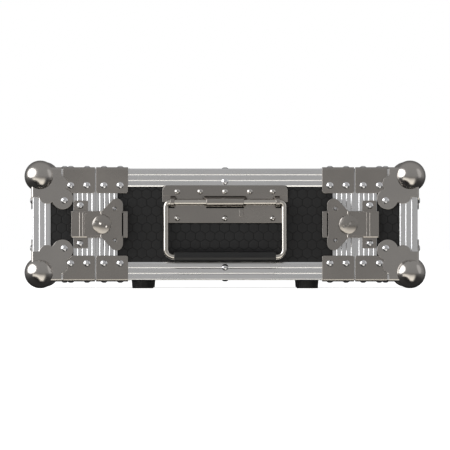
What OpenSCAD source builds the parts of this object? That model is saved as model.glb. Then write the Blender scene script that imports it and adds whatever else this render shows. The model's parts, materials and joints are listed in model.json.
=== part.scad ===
// Two-unit rack case for a wireless microphone set, with two pull-off end covers.
// +X runs along the case from the left cover to the right cover, -Y is the
// wall with the handle that faces the viewer, and +Z is up.
// The origin is on the ground, under the middle of the case.

/* [Case] */
// Length over the aluminium, both covers on
case_l = 416; // [380:1:520]
// Height of the equipment that the rails take, in rack units
rack_units = 2; // [2:1:6]
// Width of the equipment's front panel
rack_panel_w = 482.6; // [400:0.1:520]
// Room beside the equipment, out to the case's side
side_room = 14.7; // [14.4:0.1:24]
// Room above the equipment, out to the case's top
height_room = 15.8; // [14:0.1:24]
// Flat of a cover's wall between the corner's lobe and the rim
cover_flat = 0.2; // [0.2:0.2:24]

/* [Panels] */
// Thickness of the laminated plywood
panel_t = 9; // [7:0.1:12]
// Thickness of the aluminium that shows on the outside
skin_t = 1.5; // [1.2:0.1:2]
// Thickness of the aluminium lips behind the plywood
lip_t = 1.2; // [1:0.1:1.8]

/* [Edges and rims] */
// Leg of the long and end edge extrusions
edge_leg = 19.6; // [18:0.1:24]
// Radius of the outside corner of an edge extrusion
edge_r = 1.5; // [1:0.1:3]
// Width of the tongue and groove extrusion each side of a seam
rim_w = 23.6; // [23:0.2:26]
// How far the tongue reaches into the groove
tongue_l = 5; // [3:0.1:6]
// Thickness of the tongue
tongue_t = 3.8; // [3:0.1:4.4]
// Depth of the fine grooves drawn along the extrusions
reed_d = 0.4; // [0.2:0.05:0.5]
// Width of one of those grooves
reed_w = 1.6; // [1:0.1:2]
// Distance between two grooves of an edge extrusion
edge_reed_pitch = 6.2; // [5.5:0.1:7]
// Distance between two grooves of a rim extrusion
rim_reed_pitch = 5.2; // [4.8:0.1:5.6]

/* [Corners and braces] */
// Thickness of the pressed steel corners and braces
plate_t = 1.5; // [1.2:0.1:2]
// Radius of a corner ball
ball_r = 17; // [14:0.1:18]
// How far the ball's centre lies inside each face
ball_in = 8.2; // [7:0.1:9]
// Wall of the hollow ball
ball_wall = 1.6; // [1.2:0.1:2.5]
// Straight reach of a ball corner along an edge
corner_reach = 31; // [28:0.5:31]
// Distance of the large lobe's rivet from both edges
lobe_at = 34.5; // [33:0.5:36]
// Radius of the large lobe
lobe_r = 11.5; // [10:0.5:12]
// Length of a brace along the case
brace_l = 34.6; // [33.6:0.2:36]
// Width of each leg of a brace
brace_w = 26.6; // [25:0.2:30]
// Distance of a brace's rivets from the case's edge
brace_rivet_in = 18.2; // [17.6:0.2:19.5]

/* [Rivets] */
// Radius of a rivet's shank
rivet_r = 2; // [1.6:0.1:2.2]
// Radius of a rivet's head
rivet_head_r = 3.6; // [3:0.1:4]
// Height of a rivet's head
rivet_head_h = 1.6; // [1:0.1:1.8]
// How far a rivet goes into the plywood
rivet_bite = 5; // [3:0.5:6]
// Radius of the rivet heads on the handle
handle_rivet_r = 3; // [2.4:0.1:3.2]

/* [Latches] */
// Throw of the latch's eccentric
throw = 4.5; // [3.5:0.1:4.8]
// Radius of the eccentric
eccentric_r = 8.5; // [8:0.1:9]
// Radius of the rotor's cap
cap_r = 10.2; // [9.8:0.1:10.6]
// Half of the height of the hook plate
hook_half = 14.3; // [13.6:0.1:14.8]
// Thickness of the hook plate
hook_t = 1.4; // [1:0.1:1.6]
// Thickness of the folding wing
wing_t = 1.5; // [1.2:0.1:1.8]
// Radius of a wing's lobe
wing_lobe_r = 7; // [6:0.1:7.5]
// Radius of the wing's pin
wing_pin_r = 0.9; // [0.7:0.05:1]
// Thickness of the keeper on the cover
keeper_t = 1.2; // [1:0.1:1.4]

/* [Handles] */
// Width of the handle's plates
handle_w = 135.4; // [130:0.2:150]
// Radius of the bail's wire
bail_r = 2.9; // [2.4:0.1:3]
// Distance from the bail's pivot down to the middle of its grip
bail_drop = 58.8; // [54:0.1:60]
// Gap between the grip's end and the bend of the wire
grip_end = 0.9; // [0.5:0.1:10]
// Radius of the grip
grip_r = 6.5; // [5.5:0.1:6.6]
// Height of the bail's pivot over the lower plate
pivot_h = 5.6; // [5.4:0.1:6]

/* [Feet] */
// Height of a foot under the aluminium
foot_h = 9; // [8.8:0.1:14]
// Radius of a foot at its top
foot_r = 12.3; // [10:0.1:15]
// Distance of a foot's middle from the seam
foot_in_x = 51; // [40:1:100]
// Distance of a foot's middle from the case's side
foot_in_y = 56; // [36:1:150]

/* [Rack rails] */
// Thickness of the rail's steel
rail_t = 2; // [1.5:0.1:2.5]
// Set-back of the rail's face from the seam
rail_in = 30; // [26:1:60]
// Depth of the rail's leg along the wall
rail_leg = 25; // [20:1:35]
// Radius of the holes that take the equipment's bolts
rail_hole_r = 3.3; // [2.6:0.1:3.6]

/* [Foam] */
// Thickness of the foam pad in a cover
foam_t = 10; // [6:0.5:20]

/* [Hidden] */
$fn = 48;

// Clearances
slot_clear = 0.2;      // plywood in its slot
butt_gap = 0.1;        // between two extrusions that butt
seam_gap = 0.4;        // between a cover and the body
tongue_clear = 0.25;   // tongue in its groove, each side
turn_clear = 0.06;     // turning fits
plate_gap = 0.3;       // between two plates side by side

// Ball corner outline
small_lobe_r = 9;
small_lobe_in = 2;
small_lobe_far = corner_reach - small_lobe_in;
small_lobe_near = 16;
lobe_back = 2;
large_lobe_at = lobe_at - lobe_back;
lobe_end = large_lobe_at + lobe_r;

// What a rack unit, an ear of the equipment's panel and its bolts measure
unit_h = 44.45;
unit_hole_z = [6.35, 22.225, 38.1];
rack_ear_w = 15.8;
rack_ear_hole = 8.75;
rail_l = rack_units * unit_h;
rack_pitch_y = rack_panel_w - 2 * rack_ear_hole;

// Faces and centre lines of the case
case_w = rack_panel_w + 2 * side_room;
case_h = rail_l + 2 * height_room;
cover_depth = lobe_end + cover_flat + rim_w + seam_gap / 2;
end_x = case_l / 2;
seam_x = end_x - cover_depth;
side_y = case_w / 2;
base_z = foot_h;
top_z = base_z + case_h;
mid_z = base_z + case_h / 2;

// Depths below an outer face
board_in = skin_t + panel_t;
lip_in = board_in + slot_clear;
frame_in = lip_in + lip_t;

// Rim profile
groove_spare = 0.5;
groove_l = tongue_l + groove_spare;
groove_out = (frame_in - tongue_t) / 2 - tongue_clear;
groove_t = tongue_t + 2 * tongue_clear;
rim_board_at = groove_l + lip_t + slot_clear;
rim_reed_first = 4;
rim_reed_count = 4;

// Edge profile
edge_reed_first = 7;
edge_reed_count = 2;
edge_lip_w = 1.4;
edge_lip_d = 0.6;

// Rivet places, measured from the seam or from an edge
brace_at = 0.6;
seam_rivet = 9.2;
far_rivet = 26.7;
mid_rivet_in = 14;
rim_rivet_y = [-120, 0, 120];
rivet_depth = skin_t + rivet_bite;
bore_clear = 0.05;

// Latch levels over the aluminium
latch_base_t = 2;
ecc_gap = 0.2;
ecc_low = latch_base_t + ecc_gap;
hook_low = 4;
hook_top = hook_low + hook_t;
hook_tongue_t = 0.5;
tongue_top = hook_top + hook_tongue_t;
cap_gap = 0.25;
cap_low = tongue_top + cap_gap;
wing_h = 8;
pin_cover = 0.2;
cap_top = wing_h + wing_pin_r + pin_cover;
dome_h = 2;
rotor_x = 6.8;
knuckle_r = 1.7;
wing_rest_gap = 0.4;
latch_lip_top = wing_h - wing_t / 2 - wing_rest_gap;
latch_lip_t = 1.2;
latch_base_x = [3, 34.9];
latch_lip_x = 29.9;
latch_lip_half = 13.4;
wing_edge_x = 29.8;
latch_window_x = [28.2, 30.8];
latch_window_half = 11.9;
wing_notch = 1.2;
wing_half = 28;
wing_lobe_z = wing_half - wing_lobe_r;
wing_arm_z = hook_half;
latch_hole = [20.8, 17.1];
latch_ear_x = [14, 27.5];
latch_ear_z = 21.5;
wing_hole_r = 2.2;
// the keeper stands on the cover's rim, and the hook reaches over it
keeper_in = 0.3;
keeper_far_x = -rim_w - seam_gap / 2 + keeper_in;
keeper_x = [keeper_far_x, -8.1];
hook_over = 2.6;
hook_nose_x = keeper_far_x - hook_over;
hook_nose_low = 1.9;
hook_rim_w = 1.4;
hook_rim_h = [0.75, 0.25];
hook_tongue_x = hook_nose_x + 14.3;
hook_tongue_half = 12.5;
bead_x = [hook_nose_x + 9.4, hook_nose_x + 12.9];
bead_r = 0.9;
slot_w = 1.9;
slot_l = 13;
slot_bridge = 1.4;
slot_deep = 1.6;
slot_run = 2.4;
slot_angle = -27;
pivot_r = 3;
stake_r = 4.5;
stake_t = 0.7;
cut = 0.5;             // overshoot of a cutting solid

// Keeper
keeper_half = 25.8;
keeper_lip_top = 3.6;
keeper_lip_half = 12.5;
keeper_lip_gap = 0.15;
keeper_rivet_in = 7.2;
keeper_rivet = [keeper_far_x + keeper_rivet_in, 20.4];

// Handle
strip_lap = 1.6;
handle_strip_top = top_z - edge_leg + strip_lap;
handle_base_top = top_z - edge_leg - plate_gap;
pivot_drop = 18.45;
pivot_z = handle_strip_top - pivot_drop;
base_drop = 22.15;
handle_base_bottom = pivot_z - base_drop;
base_shoulder = 6.3;
handle_base_half = handle_w / 2 - base_shoulder;
shoulder_rise = 0.3;
shoulder_z = pivot_z + shoulder_rise;
strip_mid_rise = 6.9;
strip_low_mid = pivot_z + strip_mid_rise;
strip_side_rise = 3.85;
strip_low_side = pivot_z + strip_side_rise;
strip_corner_r = 6;
strip_tab_x = [24.2, 51.8];
bail_clear = 0.15;
knuckle_wall = 1.4;
knuckle_out = bail_r + bail_clear + knuckle_wall;
knuckle_reach = pivot_h + knuckle_out;
knuckle_rise = 6.65;
knuckle_foot_rise = 2.5;
// Sides of a knuckle: at its top, at its foot seen from the front, at the plate and
// at its face
mid_knuckle = [21.7, 24.7, 23.7, 19.8];
end_knuckle = [54.3, 51, 52, 55.2];
end_knuckle_right = [60, 60, 59.1, 59.1];
window_drop = [6.1, 1.5];
window_half = 20.3;
window_end_x = 54.6;
arm_in = 0.9;
arm_x = handle_w / 2 - bail_r - arm_in;
bail_top_r = 4.6;
bail_low_r = 8;
grip_l = 2 * (arm_x - bail_low_r - grip_end);
outer_rivet_in = 16.2;
outer_rivet_x = handle_w / 2 - outer_rivet_in;
inner_rivet_x = 26.8;
strip_rivet_x = [-outer_rivet_x, -inner_rivet_x, 0, inner_rivet_x, outer_rivet_x];
strip_rivet_drop = 6.8;
strip_rivet_z = handle_strip_top - strip_rivet_drop;
base_rivet_x = [-outer_rivet_x, 0, outer_rivet_x];
base_rivet_rise = 4.9;
base_rivet_z = handle_base_bottom + base_rivet_rise;
stop_x = [15.3, 19.8];
stop_l = 8;
stop_h = 1.2;
stop_gap = 4.5;

// Feet
foot_taper = 0.8;
foot_low_r = foot_r - foot_taper;
foot_screw_r = 2;
foot_head_r = 4.4;
foot_well_r = 5;
foot_well_h = 4.6;
foot_head_h = 2.6;
foot_screw_bite = 6;

// Rails
rail_at = frame_in + butt_gap;
rail_flange = side_y - rail_at - rack_panel_w / 2 + rack_ear_w;
rail_screw_r = 2.4;
rail_screw_head_r = 4.5;
rail_screw_head_h = 2.4;
rail_screw_bite = 6;
rail_screw_l = rail_t + rail_at - board_in + rail_screw_bite;
rail_screw_in = 12.45;
rail_screw_at = rail_l / 2 - rail_screw_in;
foam_gap = 0.5;
foam_in = edge_leg + foam_gap;

steel = [0.46, 0.44, 0.42];
bright_steel = [0.78, 0.78, 0.8];
aluminium = [0.68, 0.68, 0.69];
laminate = [0.13, 0.13, 0.13];
rubber = [0.09, 0.09, 0.09];
foam_grey = [0.2, 0.2, 0.21];

// Placing

module both_y() {
    children();
    mirror([0, 1, 0]) children();
}

module both_z() {
    children();
    translate([0, 0, 2 * mid_z]) mirror([0, 0, 1]) children();
}

module both_x() {
    children();
    mirror([1, 0, 0]) children();
}

// Stands children on the front wall with their z axis pointing outwards
module on_front(x, z, h) {
    translate([x, -side_y - h, z]) rotate([90, 0, 0]) children();
}

module on_top(x, y, h) {
    translate([x, y, top_z + h]) children();
}

module on_left_end(y, z, h) {
    translate([-end_x - h, y, z]) rotate([0, -90, 0]) children();
}

// Turns a flat outline in X and Z into a plate on the front wall
module front_plate(low, high) {
    translate([0, -low, 0]) rotate([90, 0, 0]) linear_extrude(high - low) children();
}

// A box given by its limits along the wall, over the wall and up
module front_box(x, h, z) {
    translate([x[0], -h[1], z[0]]) cube([x[1] - x[0], h[1] - h[0], z[1] - z[0]]);
}

module rounded_rect(x, z, r) {
    hull_x = [x[0] + r, x[1] - r];
    hull_z = [z[0] + r, z[1] - r];
    translate([x[0], hull_z[0]]) square([x[1] - x[0], hull_z[1] - hull_z[0]]);
    translate([hull_x[0], z[0]]) square([hull_x[1] - hull_x[0], z[1] - z[0]]);
    for (cx = hull_x, cz = hull_z) translate([cx, cz]) circle(r);
}

// Rivets

module rivet(head_r, depth) {
    cap_sphere = (head_r * head_r + rivet_head_h * rivet_head_h) / (2 * rivet_head_h);
    difference() {
        intersection() {
            translate([0, 0, rivet_head_h - cap_sphere]) sphere(cap_sphere);
            cylinder(r = head_r + cut, h = rivet_head_h + cut);
        }
        translate([0, 0, rivet_head_h - 0.7]) cylinder(r = rivet_r / 2, h = 2);
    }
    translate([0, 0, -depth]) cylinder(r = rivet_r, h = depth);
}

module rivet_bore(depth) {
    translate([0, 0, -depth - 0.2])
        cylinder(r = rivet_r + bore_clear, h = depth + 0.2 + plate_t + 2);
}

// Either the rivet or the hole that it goes through, with the head at level h
module fixing(bore, h, head_r = rivet_head_r) {
    if (bore)
        rivet_bore(h + rivet_depth);
    else
        rivet(head_r, h + rivet_depth);
}

// Fixings of the body, one group for each piece that they hold

module body_brace_fixings(bore) {
    both_x() both_y() both_z()
        for (p = [seam_rivet, far_rivet]) {
            on_front(-seam_x + p, top_z - brace_rivet_in, plate_t) fixing(bore, plate_t);
            on_top(-seam_x + p, -side_y + brace_rivet_in, plate_t) fixing(bore, plate_t);
        }
}

module body_edge_fixings(bore) {
    both_y() both_z() {
        on_front(0, top_z - mid_rivet_in, 0) fixing(bore, 0);
        on_top(0, -side_y + mid_rivet_in, 0) fixing(bore, 0);
    }
}

module body_rim_fixings(bore) {
    both_x() both_z()
        for (y = rim_rivet_y) on_top(-seam_x + seam_rivet, y, 0) fixing(bore, 0);
}

module latch_base_fixings(bore) {
    both_x() both_y()
        for (s = [-1, 1])
            on_front(-seam_x + latch_hole[0], mid_z + s * latch_hole[1], latch_base_t)
                fixing(bore, latch_base_t);
}

module handle_fixings(bore) {
    both_y() {
        for (x = strip_rivet_x)
            on_front(x, strip_rivet_z, plate_t) fixing(bore, plate_t, handle_rivet_r);
        for (x = base_rivet_x)
            on_front(x, base_rivet_z, 0) fixing(bore, 0, handle_rivet_r);
    }
}

// Fixings of the left cover

module cover_brace_fixings(bore) {
    both_y() both_z()
        for (p = [seam_rivet, far_rivet]) {
            on_front(-seam_x - p, top_z - brace_rivet_in, plate_t) fixing(bore, plate_t);
            on_top(-seam_x - p, -side_y + brace_rivet_in, plate_t) fixing(bore, plate_t);
        }
}

module cover_corner_fixings(bore) {
    both_y() both_z() {
        on_front(-end_x + lobe_at, top_z - lobe_at, plate_t) fixing(bore, plate_t);
        on_top(-end_x + lobe_at, -side_y + lobe_at, plate_t) fixing(bore, plate_t);
        on_left_end(-side_y + lobe_at, top_z - lobe_at, plate_t) fixing(bore, plate_t);
    }
}

module cover_rim_fixings(bore) {
    both_z() for (y = rim_rivet_y) on_top(-seam_x - seam_rivet, y, 0) fixing(bore, 0);
}

module cover_end_fixings(bore) {
    both_z()
        for (y = rim_rivet_y) {
            on_top(-end_x + mid_rivet_in, y, 0) fixing(bore, 0);
            on_left_end(y, top_z - mid_rivet_in, 0) fixing(bore, 0);
        }
}

module keeper_fixings(bore) {
    both_y()
        for (s = [-1, 1])
            on_front(-seam_x + keeper_rivet[0], mid_z + s * keeper_rivet[1], keeper_t)
                fixing(bore, keeper_t);
}

// Extrusions

// Fine grooves drawn along a bar's outer face
module reeds(first, pitch, count) {
    for (i = [0 : count - 1]) translate([first + i * pitch, 0]) polygon([
        [-reed_w / 2, -cut], [reed_w / 2, -cut], [reed_w / 2, 0], [0, reed_d],
        [-reed_w / 2, 0]
    ]);
}

module edge_reeds() {
    reeds(edge_reed_first, edge_reed_pitch, edge_reed_count);
    // the leg's free edge slopes down to the panel
    polygon([
        [edge_leg - edge_lip_w, -cut], [edge_leg + cut, -cut], [edge_leg + cut, edge_lip_d],
        [edge_leg, edge_lip_d], [edge_leg - edge_lip_w, 0]
    ]);
}

// Double angle: two outer legs, two inner legs and the box between them
module edge_profile() {
    difference() {
        union() {
            square([edge_leg, skin_t]);
            square([skin_t, edge_leg]);
            translate([lip_in, 0]) square([lip_t, frame_in]);
            translate([0, lip_in]) square([frame_in, lip_t]);
            translate([lip_in, lip_in]) square([edge_leg - lip_in, lip_t]);
            translate([lip_in, lip_in]) square([lip_t, edge_leg - lip_in]);
            // keeps the wall whole behind the rounded corner
            intersection() {
                square(edge_r + skin_t);
                translate([edge_r, edge_r]) circle(edge_r);
            }
        }
        difference() {
            translate([-cut, -cut]) square(edge_r + cut);
            translate([edge_r, edge_r]) circle(edge_r);
        }
        edge_reeds();
        mirror([1, -1]) edge_reeds();
    }
}

module long_edge(x0, x1) {
    translate([x0, -side_y, base_z]) rotate([90, 0, 90])
        linear_extrude(x1 - x0) edge_profile();
}

module rim_reeds() {
    reeds(rim_reed_first, rim_reed_pitch, rim_reed_count);
}

// x runs away from the seam, y runs into the case
module rim_profile() {
    difference() {
        union() {
            square([rim_w, skin_t]);
            square([groove_l + lip_t, frame_in]);
            translate([0, lip_in]) square([edge_leg - 2, lip_t]);
        }
        rim_reeds();
    }
}

module groove_profile() {
    difference() {
        rim_profile();
        translate([-cut, groove_out]) square([groove_l + cut, groove_t]);
    }
}

module tongue_profile() {
    rim_profile();
    translate([-tongue_l - seam_gap / 2, groove_out + tongue_clear])
        square([tongue_l + seam_gap, tongue_t]);
}

// A bar along z with both ends cut at 45 degrees
module mitred_bar(length) {
    deep = frame_in + 1;
    intersection() {
        linear_extrude(length) children();
        translate([-rim_w, 0, 0]) rotate([90, 0, 90]) linear_extrude(3 * rim_w)
            polygon([
                [-cut, butt_gap - cut], [deep, deep + butt_gap],
                [deep, length - deep - butt_gap], [-cut, length - butt_gap + cut]
            ]);
    }
}

// Four bars round the case, their seam faces at x = 0
module rim_ring() {
    difference() {
        union() {
            both_y() translate([0, -side_y, base_z]) mitred_bar(case_h) children();
            both_z() translate([0, side_y, base_z]) rotate([90, 0, 0])
                mitred_bar(case_w) children();
        }
        both_y() both_z() translate([-tongue_l, -side_y, base_z])
            edge_cutter(rim_w + 2 * tongue_l);
    }
}

// Body

module body_flat_panel() {
    half_x = seam_x - seam_gap / 2 - rim_board_at;
    half_y = side_y - frame_in - slot_clear;
    difference() {
        translate([-half_x, -half_y, top_z - board_in])
            cube([2 * half_x, 2 * half_y, panel_t]);
        body_brace_fixings(true);
        body_edge_fixings(true);
        body_rim_fixings(true);
    }
}

module body_top_panel() {
    color(laminate) body_flat_panel();
}

module body_bottom_panel() {
    color(laminate) difference() {
        translate([0, 0, 2 * mid_z]) mirror([0, 0, 1]) body_flat_panel();
        foot_places() cylinder(r = foot_screw_r + bore_clear, h = base_z + board_in + cut);
    }
}

module body_front_panel() {
    half_x = seam_x - seam_gap / 2 - rim_board_at;
    low = base_z + frame_in + slot_clear;
    color(laminate) difference() {
        translate([-half_x, -side_y + skin_t, low])
            cube([2 * half_x, panel_t, 2 * (mid_z - low)]);
        body_brace_fixings(true);
        body_edge_fixings(true);
        latch_base_fixings(true);
        handle_fixings(true);
        rail_screw_bores();
    }
}

module body_long_edges() {
    half = seam_x - seam_gap / 2 - rim_w - butt_gap;
    color(aluminium) difference() {
        both_y() both_z() long_edge(-half, half);
        body_brace_fixings(true);
        body_edge_fixings(true);
    }
}

module body_left_rim() {
    color(aluminium) difference() {
        translate([-seam_x + seam_gap / 2, 0, 0]) rim_ring() groove_profile();
        body_brace_fixings(true);
        body_rim_fixings(true);
        latch_base_fixings(true);
    }
}

// One L-shaped brace on the bottom front edge, from x = 0 along the case
module brace() {
    front_plate(0, plate_t) brace_leg();
    mirror([0, 1, -1]) front_plate(0, plate_t) brace_leg();
    bend(brace_l);
}

module brace_leg() {
    corner_r = 2.5;
    translate([0, edge_r]) square([brace_l, brace_w - corner_r - edge_r]);
    rounded_rect([0, brace_l], [brace_w - 3 * corner_r, brace_w], corner_r);
}

// Bend of a plate round the case's rounded edge, along x
module bend(length) {
    difference() {
        translate([0, edge_r, edge_r]) rotate([0, 90, 0])
            cylinder(r = edge_r + plate_t, h = length);
        translate([-cut, edge_r, edge_r]) rotate([0, 90, 0])
            cylinder(r = edge_r + bore_clear, h = length + 2 * cut);
        translate([-cut, edge_r, -2 * plate_t])
            cube([length + 2 * cut, 3 * plate_t + edge_r, 4 * plate_t + edge_r]);
        translate([-cut, -2 * plate_t, edge_r])
            cube([length + 2 * cut, 4 * plate_t + edge_r, 3 * plate_t + edge_r]);
    }
}

// What rounding off an edge along x takes away
module edge_cutter(length) {
    difference() {
        translate([-cut, -cut, -cut]) cube([length + 2 * cut, edge_r + cut, edge_r + cut]);
        translate([-2 * cut, edge_r, edge_r]) rotate([0, 90, 0])
            cylinder(r = edge_r, h = length + 4 * cut);
    }
}

module body_braces() {
    color(steel) difference() {
        both_x() both_y() both_z()
            translate([-seam_x + brace_at, -side_y, base_z]) brace();
        body_brace_fixings(true);
    }
}

module body_rivets() {
    color(bright_steel) {
        body_brace_fixings(false);
        body_edge_fixings(false);
        body_rim_fixings(false);
        latch_base_fixings(false);
    }
}

// Rack rails

// Screws of the left rails, both walls
module rail_screw_places() {
    both_y() for (s = [-1, 1])
        translate([-seam_x + rail_in + rail_leg * 0.6, -side_y + rail_at + rail_t,
            mid_z + s * rail_screw_at])
            rotate([90, 0, 0]) children();
}

module rail_screw_bores() {
    both_x() rail_screw_places()
        translate([0, 0, -cut])
        cylinder(r = rail_screw_r + bore_clear, h = rail_screw_l + cut + 0.2);
}

module left_rack_rails() {
    color(steel) difference() {
        both_y() translate([-seam_x + rail_in, -side_y + rail_at, mid_z - rail_l / 2]) {
            cube([rail_t, rail_flange, rail_l]);
            cube([rail_leg, rail_t, rail_l]);
        }
        rail_screw_bores();
        for (s = [-1, 1], u = [0 : rack_units - 1], z = unit_hole_z)
            translate([-seam_x + rail_in - cut, s * rack_pitch_y / 2,
                mid_z - rail_l / 2 + u * unit_h + z])
                rotate([0, 90, 0]) cylinder(r = rail_hole_r, h = rail_t + 2 * cut);
    }
}

module rail_screws() {
    color(bright_steel) both_x() rail_screw_places() {
        cylinder(r = rail_screw_r, h = rail_screw_l);
        translate([0, 0, -rail_screw_head_h])
            cylinder(r = rail_screw_head_r, h = rail_screw_head_h);
    }
}

// Feet

module foot_places() {
    for (sx = [-1, 1], sy = [-1, 1])
        translate([sx * (seam_x - foot_in_x), sy * (side_y - foot_in_y), 0]) children();
}

module rubber_feet() {
    color(rubber) foot_places() difference() {
        cylinder(r1 = foot_low_r, r2 = foot_r, h = foot_h + skin_t);
        translate([0, 0, -cut]) cylinder(r = foot_well_r, h = foot_well_h + cut);
        cylinder(r = foot_screw_r + bore_clear, h = foot_h + skin_t + cut);
    }
}

module foot_screws() {
    color(bright_steel) foot_places() {
        translate([0, 0, foot_well_h - foot_head_h])
            cylinder(r = foot_head_r, h = foot_head_h);
        translate([0, 0, foot_well_h - foot_head_h])
            cylinder(r = foot_screw_r,
                h = foot_head_h + foot_h + skin_t - foot_well_h + foot_screw_bite);
    }
}

// Handle on the front wall

module handle_base() {
    color(steel) translate([0, -side_y, 0]) difference() {
        union() {
            front_plate(-skin_t, plate_t - skin_t) {
                translate([-handle_base_half, handle_base_bottom])
                    square([2 * handle_base_half, shoulder_z + 1 - handle_base_bottom]);
                translate([-handle_w / 2, shoulder_z])
                    square([handle_w, handle_base_top - strip_corner_r - shoulder_z]);
                rounded_rect([-handle_w / 2, handle_w / 2],
                    [shoulder_z + 0.5, handle_base_top], strip_corner_r);
            }
            handle_knuckle(-mid_knuckle, mid_knuckle);
            for (s = [0, 1]) mirror([s, 0, 0])
                handle_knuckle(end_knuckle, end_knuckle_right);
            front_box(stop_x, [0, plate_t - skin_t + stop_h],
                [pivot_z - bail_r - stop_gap - stop_l, pivot_z - bail_r - stop_gap]);
        }
        // openings that pressing the knuckles leaves below them
        for (x = [[-window_half, window_half], [window_end_x, handle_base_half + 1],
            [-handle_base_half - 1, -window_end_x]])
            front_box(x, [-skin_t - cut, cut],
                [pivot_z - window_drop[0], pivot_z - window_drop[1]]);
        translate([0, side_y, 0]) handle_fixings(true);
    }
}

// Knuckle over the bail's wire: a tube round the wire, a strap that slopes up from
// it to the plate, and ends that slope out to the plate
module handle_knuckle(left, right) {
    low = pivot_z - knuckle_out - 1;
    foot = pivot_z + knuckle_foot_rise;
    top = pivot_z + knuckle_rise;
    touch = tangent([0, top], [pivot_h, pivot_z], knuckle_out);
    span = right[1] - left[1] + 2;
    difference() {
        intersection() {
            translate([left[1] - 1, 0, 0]) rotate([90, 0, 90]) linear_extrude(span) {
                translate([-pivot_h, pivot_z]) circle(knuckle_out);
                polygon([
                    [0.1, top], [0, top], [-touch[0], touch[1]], [-pivot_h, pivot_z],
                    [-pivot_h, pivot_z - 1], [0.1, pivot_z - 1]
                ]);
            }
            translate([0, 0, low]) linear_extrude(top - low + 1) polygon([
                [left[2], 1], [left[2], 0], [left[3], -knuckle_reach],
                [left[3], -knuckle_reach - 1], [right[3], -knuckle_reach - 1],
                [right[3], -knuckle_reach], [right[2], 0], [right[2], 1]
            ]);
            translate([0, 2, 0]) rotate([90, 0, 0]) linear_extrude(knuckle_reach + 4)
                polygon([
                    [left[1], low - 1], [left[1], foot], [left[0], top + 1],
                    [right[0], top + 1], [right[1], foot], [right[1], low - 1]
                ]);
        }
        translate([left[1] - 2, -pivot_h, pivot_z]) rotate([0, 90, 0])
            cylinder(r = bail_r + bail_clear, h = span + 2);
    }
}

// Upper strip, laid over the lower plate and over the edge of the aluminium
module handle_strip() {
    low = plate_t - skin_t;
    color(steel) translate([0, -side_y, 0]) difference() {
        front_plate(low, low + plate_t) difference() {
            union() {
                translate([-handle_w / 2, strip_low_side])
                    square([handle_w, handle_strip_top - strip_corner_r - strip_low_side]);
                rounded_rect([-handle_w / 2, handle_w / 2],
                    [handle_strip_top - 2.5 * strip_corner_r, handle_strip_top],
                    strip_corner_r);
            }
            for (x = [[-handle_w / 2 - cut, -strip_tab_x[1]],
                [-strip_tab_x[0], strip_tab_x[0]], [strip_tab_x[1], handle_w / 2 + cut]])
                translate([x[0], strip_low_side - cut])
                    square([x[1] - x[0], strip_low_mid - strip_low_side + cut]);
        }
        translate([0, side_y, 0]) handle_fixings(true);
    }
}

module handle_bail() {
    run = bail_drop - bail_top_r - bail_low_r;
    color(steel) translate([0, -side_y - pivot_h, pivot_z]) {
        translate([-arm_x + bail_top_r, 0, 0]) rotate([0, 90, 0])
            cylinder(r = bail_r, h = 2 * (arm_x - bail_top_r));
        translate([-arm_x + bail_low_r, 0, -bail_drop]) rotate([0, 90, 0])
            cylinder(r = bail_r, h = 2 * (arm_x - bail_low_r));
        for (s = [0, 1]) mirror([s, 0, 0]) {
            translate([-arm_x, 0, -bail_drop + bail_low_r]) cylinder(r = bail_r, h = run);
            bail_bend(-arm_x + bail_top_r, -bail_top_r, bail_top_r, 90);
            bail_bend(-arm_x + bail_low_r, -bail_drop + bail_low_r, bail_low_r, 180);
        }
    }
}

// Quarter bend of the wire about (x, z), from the given angle on
module bail_bend(x, z, r, from) {
    translate([x, 0, z]) rotate([90, 0, 0]) rotate([0, 0, from])
        rotate_extrude(angle = 90) translate([r, 0]) circle(bail_r);
}

module handle_grip() {
    color(rubber) translate([0, -side_y - pivot_h, pivot_z - bail_drop])
        rotate([0, 90, 0]) difference() {
            translate([0, 0, -grip_l / 2]) cylinder(r = grip_r, h = grip_l);
            translate([0, 0, -grip_l / 2 - cut])
                cylinder(r = bail_r + bore_clear, h = grip_l + 2 * cut);
        }
}

module handle_rivets() {
    color(steel) handle_fixings(false);
}

// Latch at the front left, with x from the seam and z from the middle of the wall

module latch_place() {
    translate([-seam_x, -side_y, mid_z]) children();
}

module latch_rod(x, z, r, low, high) {
    translate([x, -low, z]) rotate([90, 0, 0]) cylinder(r = r, h = high - low);
}

module latch_base() {
    color(steel) latch_place() difference() {
        union() {
            front_plate(0, latch_base_t) {
                rounded_rect(latch_base_x, [-hook_half, hook_half], 1);
                rounded_rect(latch_ear_x, [-latch_ear_z, latch_ear_z], 3);
            }
            // end wall, folded back over the floor
            front_box([latch_base_x[1] - plate_t, latch_base_x[1]], [0, latch_lip_top],
                [-latch_lip_half + 1, latch_lip_half - 1]);
            front_box([latch_lip_x, latch_base_x[1]], [latch_lip_top - latch_lip_t, latch_lip_top],
                [-latch_lip_half, latch_lip_half]);
        }
        for (s = [-1, 1])
            latch_rod(latch_hole[0], s * latch_hole[1], rivet_r + bore_clear, -cut, 4);
        // window between the floor and the lip, under the wing's edge
        front_box(latch_window_x, [-cut, latch_base_t + cut],
            [-latch_window_half, latch_window_half]);
        latch_rod(rotor_x, 0, pivot_r + turn_clear, -cut, latch_base_t + cut);
        latch_rod(rotor_x, 0, stake_r + turn_clear + 0.1, -cut, stake_t + 0.2);
    }
}

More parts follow.
